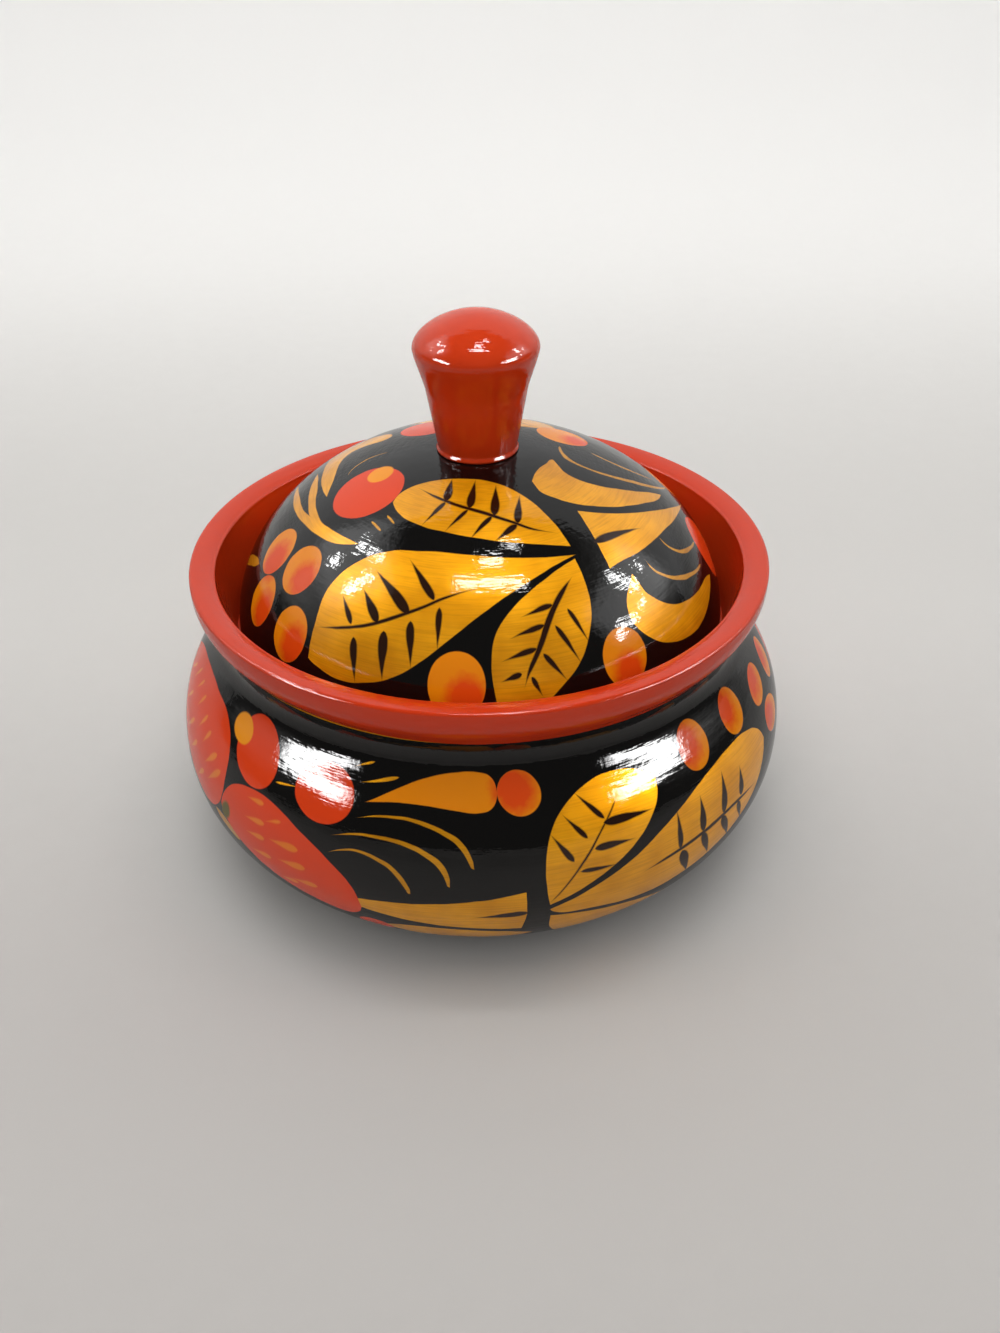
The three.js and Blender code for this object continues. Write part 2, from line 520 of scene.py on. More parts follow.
def dab(tree, spot, place, size, angle):
    """An oval dab of paint: its middle, its two half widths in mm and its slant in degrees.
    Gives how far inside it a spot is, in mm."""
    local = add(
        tree,
        "Mapping",
        {
            "Vector": spot,
            "Location": (*place, 0),
            "Rotation": (0, 0, math.radians(angle)),
            "Scale": (*size, 1),
        },
        vector_type="TEXTURE",
    )
    reach = add(tree, "VectorMath", {0: local.outputs[0]}, operation="LENGTH").outputs["Value"]
    inside = add(tree, "Math", {0: reach, 1: -min(size), 2: min(size)}, operation="MULTIPLY_ADD")
    return inside.outputs[0]


def blush(tree, spot, place, size, angle, share):
    """The soft red side of a berry: a second dab, a share of its size, laid on wet along its slant."""
    past_edge = 1.1
    towards = Vector((math.cos(math.radians(angle)), math.sin(math.radians(angle))))
    middle = Vector(place) + towards * size[0] * (1 - share) * past_edge
    return dab(tree, spot, middle, (size[0] * share, size[1] * share), angle)


def brushed(tree, layer, place, reach):
    """Breaks the edge of a layer of wet paint, as a dry brush does, by up to reach mm."""
    bristle_size = 1.3 * mm
    bristle = add(tree, "TexNoise", {"Vector": place, "Scale": 1 / bristle_size, "Detail": 3}).outputs["Fac"]
    return add(tree, "Math", {0: bristle, 1: reach, 2: layer}, operation="MULTIPLY_ADD").outputs[0]


def together(tree, layer, mark):
    """Adds a mark to a layer of marks in one paint."""
    if layer is None:
        return mark
    return add(tree, "Math", {0: layer, 1: mark}, operation="MAXIMUM").outputs[0]


def cover(tree, layer, softness):
    """How much of a spot a layer of paint covers, from 0 to 1, over an edge softness mm wide."""
    return add(
        tree, "Math", {0: layer, 1: 1 / softness, 2: 0.5}, operation="MULTIPLY_ADD", use_clamp=True
    ).outputs[0]


def lathe_coordinates(tree):
    """The direction out from the axis, the length along the turned section in mm, and the place in metres."""
    place = add(tree, "TexCoord", {}).outputs["Object"]
    flat = add(tree, "VectorMath", {0: place, 1: (1, 1, 0)}, operation="MULTIPLY")
    outward = add(tree, "VectorMath", {0: flat.outputs[0]}, operation="NORMALIZE").outputs[0]
    along = add(tree, "Attribute", {}, attribute_name="turned_mm").outputs["Fac"]
    return outward, along, place


def turned_noise(tree, outward, along, radius, around_mm, along_mm, detail):
    """Noise drawn out around the piece, as lathe marks and a wiped-on finish are: its two sizes in mm."""
    rounded = add(tree, "VectorMath", {0: outward, "Scale": radius / around_mm}, operation="SCALE")
    stacked = add(tree, "Math", {0: along, 1: 1 / along_mm}, operation="MULTIPLY")
    lifted = add(tree, "CombineXYZ", {"Z": stacked.outputs[0]})
    spot = add(tree, "VectorMath", {0: rounded.outputs[0], 1: lifted.outputs[0]}, operation="ADD")
    noise = add(tree, "TexNoise", {"Vector": spot.outputs[0], "Scale": 1, "Detail": detail, "Roughness": 0.6})
    return noise.outputs["Fac"]


def hand_wobble(tree, place):
    """The unsteadiness of a hand-painted edge: a shift of about a tenth of a millimetre."""
    shake_length = 4 * mm
    shake_reach_mm = 0.25
    shake = add(tree, "TexNoise", {"Vector": place, "Scale": 1 / shake_length, "Detail": 1})
    centred = add(tree, "VectorMath", {0: shake.outputs["Color"], 1: (0.5, 0.5, 0.5)}, operation="SUBTRACT")
    sized = add(tree, "VectorMath", {0: centred.outputs[0], "Scale": shake_reach_mm}, operation="SCALE")
    return sized.outputs[0]


def over(tree, under, paint, amount):
    """One colour laid over another."""
    if not isinstance(paint, bpy.types.NodeSocket):
        paint = linear(paint)
    return add(tree, "Mix", {0: amount, 6: under, 7: paint}, data_type="RGBA").outputs[2]


def gold_colours(tree, outward, along, place, radius):
    """Metal powder under amber varnish: clouded from yellow to bronze, with fine dark grain across it.
    Gives the colour and the grain."""
    bronze_gold = "D08A08"
    yellow_gold = "E8A012"
    groove_brown = "8E5006"
    groove_least = 0.78
    cloud_size = 9 * mm
    cloud = add(tree, "TexNoise", {"Vector": place, "Scale": 1 / cloud_size, "Detail": 3})
    tone = add(tree, "MapRange", {"Value": cloud.outputs["Fac"], "From Min": 0.35, "From Max": 0.65})
    golds = over(tree, linear(bronze_gold), yellow_gold, tone.outputs[0])
    grain = turned_noise(tree, outward, along, radius, around_mm=10, along_mm=0.3, detail=2)
    smooth = add(
        tree,
        "MapRange",
        {"Value": grain, "From Min": 0.36, "From Max": 0.56, "To Min": groove_least, "To Max": 1},
    )
    return over(tree, linear(groove_brown), golds, smooth.outputs[0]), grain


def varnished(tree, colour, metal, grain, outward, along, place, radius, unevenness):
    """The paint under two coats of hard clear varnish: a mirror gloss, rippled by the brush and the wood."""
    wave_size = 2.4 * mm
    peel_size = 0.8 * mm
    ripple_share = 0.8
    peel_share = 0.4
    coat_depth = 0.042 * mm
    grain_depth = 0.015 * mm
    ripple = turned_noise(tree, outward, along, radius, around_mm=11, along_mm=0.9, detail=2)
    wave = add(tree, "TexNoise", {"Vector": place, "Scale": 1 / wave_size, "Detail": 2}).outputs["Fac"]
    peel = add(tree, "TexNoise", {"Vector": place, "Scale": 1 / peel_size, "Detail": 2}).outputs["Fac"]
    swell = add(tree, "Math", {0: ripple, 1: ripple_share, 2: wave}, operation="MULTIPLY_ADD")
    swell = add(tree, "Math", {0: peel, 1: peel_share, 2: swell.outputs[0]}, operation="MULTIPLY_ADD")
    swell = add(tree, "Math", {0: swell.outputs[0], 1: unevenness}, operation="MULTIPLY")
    coat = add(tree, "Bump", {"Strength": 1, "Distance": coat_depth, "Height": swell.outputs[0]})
    ground = add(tree, "Bump", {"Strength": 0.6, "Distance": grain_depth, "Height": grain})
    dull = add(tree, "MapRange", {"Value": peel, "To Min": 0.36, "To Max": 0.5})
    shader = add(
        tree,
        "BsdfPrincipled",
        {
            "Base Color": colour,
            "Metallic": metal,
            "Roughness": dull.outputs[0],
            "Specular IOR Level": 0,
            "Normal": ground.outputs[0],
            "Coat Weight": 0.7,
            "Coat Roughness": 0.05,
            "Coat IOR": 1.5,
            "Coat Normal": coat.outputs[0],
        },
    )
    add(tree, "OutputMaterial", {"Surface": shader.outputs[0]})


# The paints, from the black ground up to the small touches.
black_ground = "090807"
dark_stroke = "261207"
berry_orange = "E2840A"
berry_red = "DC4014"
collar_red = "C4340F"
blush_red = "DA480F"
spot_yellow = "EE940C"
seed_orange = "E6781C"
sepal_green = "5E5410"


def painted(tree, gold_paint, place, gold, lines, strokes, orange, red_side, red):
    """The painter's layers over the black ground, from the gold up to the red.
    Gives the colour, and how much metal shows."""
    gold_edge = 0.16
    stroke_edge = 0.28
    berry_edge = 0.18
    wet_break = 2
    wet_edge = 2.4
    thin_gold = 0.72
    metal_share = 0.35
    line_cover = cover(tree, lines, gold_edge)
    line_cover = add(tree, "Math", {0: line_cover, 1: thin_gold}, operation="MULTIPLY").outputs[0]
    gold_cover = together(tree, cover(tree, gold, gold_edge), line_cover)
    stroke_cover = cover(tree, strokes, stroke_edge)
    orange_cover = cover(tree, orange, berry_edge)
    red_cover = cover(tree, red, berry_edge)
    side_cover = cover(tree, brushed(tree, red_side, place, wet_break), wet_edge)
    side_cover = add(tree, "Math", {0: side_cover, 1: orange_cover}, operation="MULTIPLY").outputs[0]
    colour = linear(black_ground)
    for paint, amount in (
        (gold_paint, gold_cover),
        (dark_stroke, stroke_cover),
        (berry_orange, orange_cover),
        (blush_red, side_cover),
        (berry_red, red_cover),
    ):
        colour = over(tree, colour, paint, amount)
    on_top = together(tree, together(tree, stroke_cover, orange_cover), red_cover)
    bare = add(tree, "Math", {0: gold_cover, 1: on_top}, operation="SUBTRACT", use_clamp=True)
    metal = add(tree, "Math", {0: bare.outputs[0], 1: metal_share}, operation="MULTIPLY")
    return colour, metal.outputs[0]


# Linden wood under black lacquer, metal powder and oil paint, with clear varnish on top: flat strong colours
# that lie deep under a wet mirror gloss, and leaves that glow like gold where the metal is left bare.
painted_bowl, tree = new_material("painted_and_varnished_linden_bowl")
outward, along, place = lathe_coordinates(tree)
compass = add(tree, "SeparateXYZ", {0: outward})
forward = add(tree, "Math", {0: compass.outputs["Y"], 1: -1}, operation="MULTIPLY")
turn_angle = add(tree, "Math", {0: compass.outputs["X"], 1: forward.outputs[0]}, operation="ARCTAN2")
around = add(tree, "Math", {0: turn_angle.outputs[0], 1: belly_radius}, operation="MULTIPLY")

# The painter's design goes round twice: the back repeats the front. Marks are placed on the belly unrolled,
# in mm to the right of the front and in mm down from the neck.
design_left = -97
half_turn = math.pi * belly_radius
repeated = add(
    tree, "Math", {0: around.outputs[0], 1: design_left + half_turn, 2: design_left}, operation="WRAP"
)
down = add(tree, "Math", {0: along, 1: -1}, operation="MULTIPLY")
unrolled = add(tree, "CombineXYZ", {"X": repeated.outputs[0], "Y": down.outputs[0]})
wobble = hand_wobble(tree, place)
spot = add(tree, "VectorMath", {0: unrolled.outputs[0], 1: wobble}, operation="ADD").outputs[0]

gold = None
for start, end, one_edge, other_edge in (
    # the upright leaf right of the middle
    (
        (12, 27.7), (34.2, 8.5),
        ((11.4, 24), (11.2, 20), (11.9, 15), (13.5, 11.5), (16, 8.9), (20, 6.5), (24, 5.6), (30, 6.2)),
        ((17, 25.4), (22, 22.7), (27, 19.4), (31, 15.7), (33.6, 12)),
    ),
    # the long leaf that lies below it
    (
        (12, 28.9), (66.5, 17.5),
        ((18, 26.2), (24, 23.4), (36, 17), (42, 14.4), (48, 12.7), (54, 11.9), (60, 12.4), (64.5, 14.4)),
        ((13, 29.9), (20, 31.1), (31, 32.5), (39, 32), (47, 30.4), (54, 28.4), (61, 25), (65, 20.5)),
    ),
    # the leaf under the long one
    (
        (12.2, 30.8), (38, 38),
        ((20, 32.2), (28, 33.8), (34, 35.8)),
        ((13, 37), (16, 41.5), (24, 42.5), (32, 41)),
    ),
    # the cut leaf left of the middle, and the one under it
    (
        (-27, 29.6), (8.1, 29.2),
        ((-18, 27.9), (-8, 26.6), (0, 25.4), (7.9, 24, "sharp")),
        ((-18, 31.5), (-8, 32.8), (0, 33.7), (7.3, 34.6, "sharp")),
    ),
    (
        (-18, 36.5), (9.5, 38),
        ((-14, 34.8), (-6, 34.3), (2, 35.2), (7, 36.6)),
        ((-12, 40.5), (-4, 42.5), (4, 41.5)),
    ),
):
    gold = together(tree, gold, shape(tree, spot, start, end, one_edge, other_edge))

lines = None
for points, *press in (
    # three long hooks
    (
        (
            (-21, 12), (-18, 11.2), (-15, 10.9), (-12, 10.95), (-9, 11.5),
            (-6, 12.6), (-3.4, 14.2), (-0.8, 18.8),
        ),
        0.95,
        hook,
    ),
    (
        (
            (-25.5, 16.2), (-22, 15.2), (-19, 14.8), (-15, 14.8), (-12, 15.3),
            (-9, 16.5), (-6.5, 18.4), (-4.9, 22.5),
        ),
        1.05,
        hook,
    ),
    (((-26.2, 19.6), (-23.5, 18.4), (-20.5, 18), (-17, 18.9), (-14.5, 20.3), (-11.7, 24.7)), 0.95, hook),
    # small ticks, and a blade below the strawberry
    (((-15.2, 4.3), (-22, 6.2)), 0.65),
    (((-20.4, 2.5), (-24, 3.9)), 0.4),
    (((-39.8, 11.6), (-34.8, 10.6)), 0.4),
    (((-49, 28.9), (-57, 26)), 2.2, blade),
):
    lines = together(tree, lines, brush_line(tree, spot, points, *press))

strokes = None
for points, *press in (
    # veins and side strokes of the upright leaf
    (((12.4, 26.7), (16.8, 21), (21, 15.3), (25, 10.5)), 0.45, vein),
    (((22.4, 12.8), (18, 7.8)), 1.0),
    (((18.8, 15.5), (15.2, 11)), 0.95),
    (((16.2, 19.2), (12.6, 13.9)), 1.1),
    (((22, 13.5), (31.5, 14)), 1.6),
    (((19.9, 17.6), (27.2, 17.9)), 1.4),
    (((17.2, 21.4), (24, 21.8)), 0.9),
    # the long leaf's vein and side strokes
    (((30, 25.6), (36, 24.6), (44, 23.7), (50, 23.1), (59.5, 23.6)), 0.9, blade),
    (((37.3, 24.4), (36.8, 16.3)), 1.2),
    (((42.9, 23.6), (42.7, 16.2)), 1.7),
    (((48.8, 23), (49.4, 14.8)), 1.8),
    (((54.7, 22.7), (54.9, 16.8)), 1.7),
    (((37.6, 25), (40.2, 32)), 2.1),
    (((42.6, 23.7), (45.4, 30.4)), 1.7),
    (((48.2, 23.3), (51.2, 29.8)), 1.8),
    (((53.4, 23.3), (55.2, 28.4)), 1.4),
    # the cut leaf's stroke
    (((8.4, 29), (-0.5, 29.7)), 1.4),
):
    strokes = together(tree, strokes, brush_line(tree, spot, points, *press))

# In orange, one long petal and the berries, which get a red side while the paint is wet.
orange = shape(
    tree,
    spot,
    (-20.5, 9.2),
    (3.5, 6),
    ((-17.5, 7.5), (-15, 6.1), (-10, 3.8), (-5, 2.7), (0, 2.5), (2.5, 3.5)),
    ((-15, 8.45), (-10, 8.3), (-5, 8.7), (0, 9.1), (2.4, 8.4)),
)
red_side = None
for middle, size, slant, share in (
    ((7.5, 6.2), (4.1, 3.7), -150, 0.74),
    ((45.3, 7.4), (3.9, 4.6), -161, 0.6),
    ((59.3, 7.4), (3.6, 4.5), -139, 0.54),
    ((72.5, 9.3), (2.7, 4.8), -116, 0.56),
    ((74, 16.9), (4.5, 3.4), -170, 0.6),
    ((84.5, 10.5), (2.8, 4.6), -122, 0.5),
):
    orange = together(tree, orange, dab(tree, spot, middle, size, slant))
    red_side = together(tree, red_side, blush(tree, spot, middle, size, slant, share))

# In red, two strawberries and three round berries, with a bright spot, a sepal and seeds on top.
red = shape(
    tree,
    spot,
    (-97, 15),
    (-53, 16.6),
    ((-90, 9.6), (-79, 6.6), (-66, 6.4), (-58, 8.2), (-54, 12)),
    ((-87, 18), (-78, 22.3), (-68, 25.6), (-61, 27), (-56, 24.7), (-53.4, 20)),
)
second_strawberry = shape(
    tree,
    spot,
    (-54.2, 23),
    (-21.1, 31),
    ((-52.2, 18.8), (-49.6, 16.5), (-45, 15.1), (-39, 15.4), (-33, 17.8), (-27, 21.3), (-22.6, 25.5)),
    ((-52, 26.4), (-47, 29.6), (-39, 32.7), (-30, 34.6), (-25, 35), (-22, 33)),
)
red = together(tree, red, second_strawberry)
for middle, size, slant in (
    ((-46.9, 8.7), (7.0, 5.4), 38),
    ((-29.2, 9.8), (6.2, 5.3), 0),
    ((-20, 38), (3.4, 3.0), 0),
):
    red = together(tree, red, dab(tree, spot, middle, size, slant))

bright_spot = dab(tree, spot, (-53, 7), (3.4, 2.4), 20)
sepal = dab(tree, spot, (-52.6, 23.8), (1.3, 2.3), 20)
seeds = None
for start, end, width in (
    ((-41.4, 16.4), (-45.2, 17), 1.0),
    ((-37, 18), (-40, 19.2), 0.6),
    ((-40.9, 20.2), (-45.6, 21.1), 1.2),
    ((-32.9, 21.9), (-39.2, 22.7), 1.6),
    ((-41, 23.5), (-45.4, 24.3), 1.1),
    ((-31.6, 25.5), (-37.4, 26.4), 1.5),
    ((-39.8, 27.2), (-44.8, 28.1), 1.1),
    ((-29.6, 29), (-35, 29.9), 1.3),
    ((-34.2, 30.6), (-38.4, 31.4), 1.0),
    ((-57.4, 14.8), (-61.2, 18.4), 1.3),
    ((-55, 16.9), (-59.4, 21), 1.3),
    ((-61.9, 12.6), (-63.8, 15.7), 1.0),
    ((-65.5, 11.3), (-67.4, 14.5), 0.9),
    ((-70, 9.6), (-71.7, 12.5), 0.9),
    ((-74.4, 8.8), (-76, 11.2), 0.8),
    ((-79, 8.9), (-80.8, 11.7), 0.8),
    ((-70.8, 15.3), (-74.2, 18.7), 1.0),
    ((-66.6, 17.6), (-69.8, 20.5), 1.0),
    ((-61.8, 20.8), (-65.2, 23.8), 1.0),
    ((-77.2, 13.2), (-80.3, 16.3), 0.9),
    ((-83.8, 10.9), (-86.2, 13.2), 0.8),
):
    seeds = together(tree, seeds, brush_line(tree, spot, (start, end), width))

seed_edge = 0.4
spot_edge = 0.3
sepal_edge = 0.5
gold_paint, grain = gold_colours(tree, outward, along, place, belly_radius)
colour, metal = painted(tree, gold_paint, place, gold, lines, strokes, orange, red_side, red)
colour = over(tree, colour, seed_orange, cover(tree, seeds, seed_edge))
colour = over(tree, colour, spot_yellow, cover(tree, bright_spot, spot_edge))
colour = over(tree, colour, sepal_green, cover(tree, sepal, sepal_edge))

# The collar and the inside are red. The collar's edge wavers, and on the left the gold ground shows along it.
red_edge = 4.0
collar_edge = 0.12
bare_from = -0.05
bare_fully = -0.55
red_overlap = 0.1
bare_width = 1.1
collar_ripple = 2
wobble_down = add(tree, "SeparateXYZ", {0: wobble}).outputs["Y"]
above_edge = add(tree, "Math", {0: along, 1: red_edge}, operation="SUBTRACT")
above_edge = add(tree, "Math", {0: above_edge.outputs[0], 1: wobble_down}, operation="ADD").outputs[0]
left_front = add(
    tree,
    "MapRange",
    {
        "Value": compass.outputs["X"],
        "From Min": bare_from,
        "From Max": bare_fully,
        "To Min": red_overlap,
        "To Max": -bare_width,
    },
)
red_start = add(tree, "Math", {0: above_edge, 1: left_front.outputs[0]}, operation="ADD").outputs[0]
colour = over(tree, colour, gold_paint, cover(tree, above_edge, collar_edge))
collar_cover = cover(tree, red_start, collar_edge)
colour = over(tree, colour, collar_red, collar_cover)
unevenness = add(tree, "Math", {0: collar_cover, 1: collar_ripple, 2: 1}, operation="MULTIPLY_ADD").outputs[0]
varnished(tree, colour, metal, grain, outward, along, place, belly_radius, unevenness)

bowl.data.materials.append(painted_bowl)
lit_by_low_lamps.objects.link(bowl)
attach(bowl, "jar")
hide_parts("jar_body")


# The lid: a hollow dome turned from a second blank, with a flat rim that sits on the bowl's ledge and a blind
# hole at the top for the knob. Painted and varnished like the bowl, with a trefoil of leaves at the front.
lid_low, lid_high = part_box("lid")
lid_radius = lid_high.x / mm
lid_base = lid_low.z / mm
dome_height = 33.7
lid_rim_width = 4.6
lid_crown = 7.5
lid_edge_rounding = 0.4
knob_seat_radius = 7.4
mortise_radius = 4.8
mortise_depth = 4.6
seat_turn = math.asin(knob_seat_radius / lid_radius)
knob_seat_height = lid_base + dome_height * math.cos(seat_turn)


def oval_handles(radius, height, base, first, last):
    """The two handles of an arc of an upright oval about the axis, between two angles from its top."""
    reach = 4 / 3 * math.tan((last - first) / 4)
    handles = []
    for angle, sign in ((first, 1), (last, -1)):
        handles.append(
            (
                radius * (math.sin(angle) + sign * reach * math.cos(angle)),
                base + height * (math.cos(angle) - sign * reach * math.sin(angle)),
            )
        )
    return handles


hollow_dome = (lid_radius - lid_rim_width, dome_height - lid_crown)
lid = turn(
    "turned_lid",
    (0, knob_seat_height - mortise_depth),
    [
        [(mortise_radius, knob_seat_height - mortise_depth)],
        [(mortise_radius, knob_seat_height)],
        [(knob_seat_radius, knob_seat_height)],
        [
            (lid_radius, lid_base + lid_edge_rounding),
            *oval_handles(
                lid_radius,
                dome_height - lid_edge_rounding,
                lid_base + lid_edge_rounding,
                seat_turn,
                math.pi / 2,
            ),
        ],
        [(lid_radius - lid_edge_rounding, lid_base), (lid_radius, lid_base)],
        [(hollow_dome[0], lid_base)],
        [(0, lid_base + hollow_dome[1]), (hollow_dome[0], lid_base + hollow_dome[1])],
    ],
    zero_stroke=2,
    zero_mm=lid_radius * seat_turn,
)

# The same lacquer, gold and paint as the bowl's under the same varnish: a dark mirror that shows the room's
# lamps on its shoulder and its pale walls along its sides.
painted_lid, tree = new_material("painted_and_varnished_linden_lid")
outward, along, place = lathe_coordinates(tree)
wobble = hand_wobble(tree, place)
flattened = add(tree, "VectorMath", {0: outward, "Scale": along}, operation="SCALE")
spot = add(tree, "VectorMath", {0: flattened.outputs[0], 1: wobble}, operation="ADD").outputs[0]

# Marks are placed on the dome pressed flat, in mm from its top, with the front at negative Y. The trefoil and
# its berries are painted front and back: the back is the front turned half round.
front_or_back = add(tree, "SeparateXYZ", {0: spot})
behind = add(tree, "Math", {0: front_or_back.outputs["Y"], 1: 0}, operation="GREATER_THAN")
half_round = add(tree, "Math", {0: behind.outputs[0], 1: -2, 2: 1}, operation="MULTIPLY_ADD")
twice = add(tree, "VectorMath", {0: spot, "Scale": half_round.outputs[0]}, operation="SCALE").outputs[0]

gold = None
for where, start, end, one_edge, other_edge in (
    # the trefoil: upper leaf, big lower leaf, right leaf
    (
        twice, (-14.8, -15.3), (16.4, -25.3),
        ((-13, -13), (-8.5, -11.5), (-2.5, -11.4), (2.5, -12.4), (7.5, -15.1), (12.3, -19.7)),
        ((-13.5, -18.7), (-10, -21.9), (-4.6, -24.4), (1.1, -25.9), (7, -26.3), (12.5, -25.9)),
    ),
    (
        twice, (-34.3, -39.8), (17.1, -26.9),
        ((-31, -34.5), (-27.5, -29.6), (-22.3, -27), (-15.9, -26.3), (-9.2, -27.6), (2, -29.3), (9.5, -29)),
        (
            (-32.8, -41.9), (-27.8, -46.2), (-22, -48.2), (-16.4, -48.5), (-9.8, -46.4),
            (-2.3, -41.8), (8, -34.3),
        ),
    ),
    (
        twice, (17.2, -27.6), (8.4, -60),
        ((19.2, -31.5), (20.7, -36), (20.7, -41), (19.6, -45.5), (16.8, -50), (12.8, -54.6)),
        ((13.5, -31.1), (9.5, -35.1), (5.5, -39.5), (3.2, -43.5), (2.7, -47.2), (3.2, -51.5), (4.8, -56)),
    ),
    # the curled petal, the cut leaf and the crescent on the right
    (
        spot, (9.6, -11.2), (35.9, 0.6),
        (
            (10.8, -7.4), (12.2, -5.1), (13.6, -3.2), (15.2, -6.4), (17.4, -7.9),
            (21, -8.2), (25, -7.1), (29.4, -4.8), (33.4, -1.5),
        ),
        (
            (10.8, -13.6), (14.2, -15), (17.5, -15.2), (20.8, -14.5), (24.4, -13),
            (28.1, -10.4), (31.9, -6.6), (34.6, -3),
        ),
    ),
    (
        spot, (23.9, -27.5), (42.5, 6.3),
        ((17.7, -16.9, "sharp"), (20.8, -16.2), (24.3, -14.8), (28.8, -12.1), (33, -8.3), (37.9, -2.4)),
        ((25.8, -25.4), (28.7, -22.5), (31.8, -18.5), (35.3, -12.5), (38.4, -6.3)),
    ),
    (
        twice, (29.1, -35.4), (49.9, -10.8),
        (
            (28.3, -34.2), (27.75, -32.7), (27.7, -31.2), (28.1, -28.8), (28.4, -26.6, "sharp"),
            (31.4, -28.85), (33.2, -29.1), (37.2, -28.4), (41.5, -25.3), (45.5, -19.6),
            (48.3, -13.2),
        ),
        ((30.4, -36.1), (32.9, -36.6), (36.2, -36.3), (39.5, -35), (43.7, -31.8), (47.9, -25.9), (50.2, -15)),
    ),
    # the long blades on the left
    (
        spot, (-21.2, -22.9), (-36.9, 8.5),
        ((-25.4, -21.1), (-29, -17.5), (-32.5, -12), (-35.5, -5.1), (-36.9, 2.7)),
        ((-25.4, -18.5), (-28.3, -14.9), (-31.5, -10.4), (-33.4, -6.7), (-34.9, -0.8), (-36, 4)),
    ),
    (
        spot, (-24.5, -19.6), (-31.8, 6.5),
        ((-28.6, -15.5), (-31.5, -10.4), (-32.2, -6.2), (-32.5, -0.9), (-32.3, 3)),
        ((-28.2, -14.9), (-30, -10), (-30.6, -6), (-30.6, -2.9), (-31, 2)),
    ),
    (
        spot, (-28.1, -6.9), (-25.5, 19),
        ((-29.1, -4.2), (-30, 0), (-30.3, 4), (-30.4, 10), (-29.2, 16)),
        (
            (-27.6, -4), (-27.2, -1.4), (-26.9, 2.5), (-26.6, 5.7), (-25.9, 8),
            (-24.8, 9.8), (-23.8, 13), (-24.3, 16.5),
        ),
    ),
    (
        spot, (-27.5, 9.5), (-16.5, 11.5),
        ((-26, 15.5), (-22.5, 17), (-19, 15.5), (-17, 13.5)),
        ((-25.4, 8.9), (-24.3, 9.9), (-22.6, 10.2), (-20.4, 9.9), (-18, 9.7)),
    ),
):
    gold = together(tree, gold, shape(tree, where, start, end, one_edge, other_edge))

lines = None
for where, points, width, swell in (
    # fine curls on the right, then a blade, a curl and two ticks on the left
    (spot, ((15, 3.2), (15.4, 0.4), (16.6, -1.7), (18.4, -2.8), (20.5, -3.3)), 0.9, vein),
    (
        spot,
        ((17.2, -2.1), (19.6, -3.2), (24.2, -3.2), (29.6, -1.2), (33.5, 1.3), (36.5, 4.6), (38.4, 8.5)),
        1.0,
        vein,
    ),
    (spot, ((21.2, 4.3), (25.4, 3.3), (30.2, 3.9), (34.5, 6.2)), 0.6, vein),
    (
        twice,
        ((34.3, -15.1), (36, -15.7), (38.1, -15.4), (40.9, -13.3), (42.9, -10.2), (44.1, -7.2)),
        0.85,
        vein,
    ),
    (
        twice,
        ((31.1, -22.4), (32.7, -23.4), (35.3, -23.3), (39, -21.6), (43.1, -17.5), (46, -12.2)),
        0.9,
        vein,
    ),
    (spot, ((-45.2, -11.8), (-48.6, -6.5), (-53.5, 1.5)), 2.2, blade),
    (spot, ((-24.1, -2.2), (-23.2, -0.3), (-21.7, 1), (-19.5, 1.9), (-16.7, 1.9)), 0.3, vein),
    (spot, ((-16.9, -21.5), (-18.6, -18.8)), 0.45, vein),
    (spot, ((-14.5, -20.6), (-15.7, -18.4)), 0.4, vein),
):
    lines = together(tree, lines, brush_line(tree, where, points, width, swell))

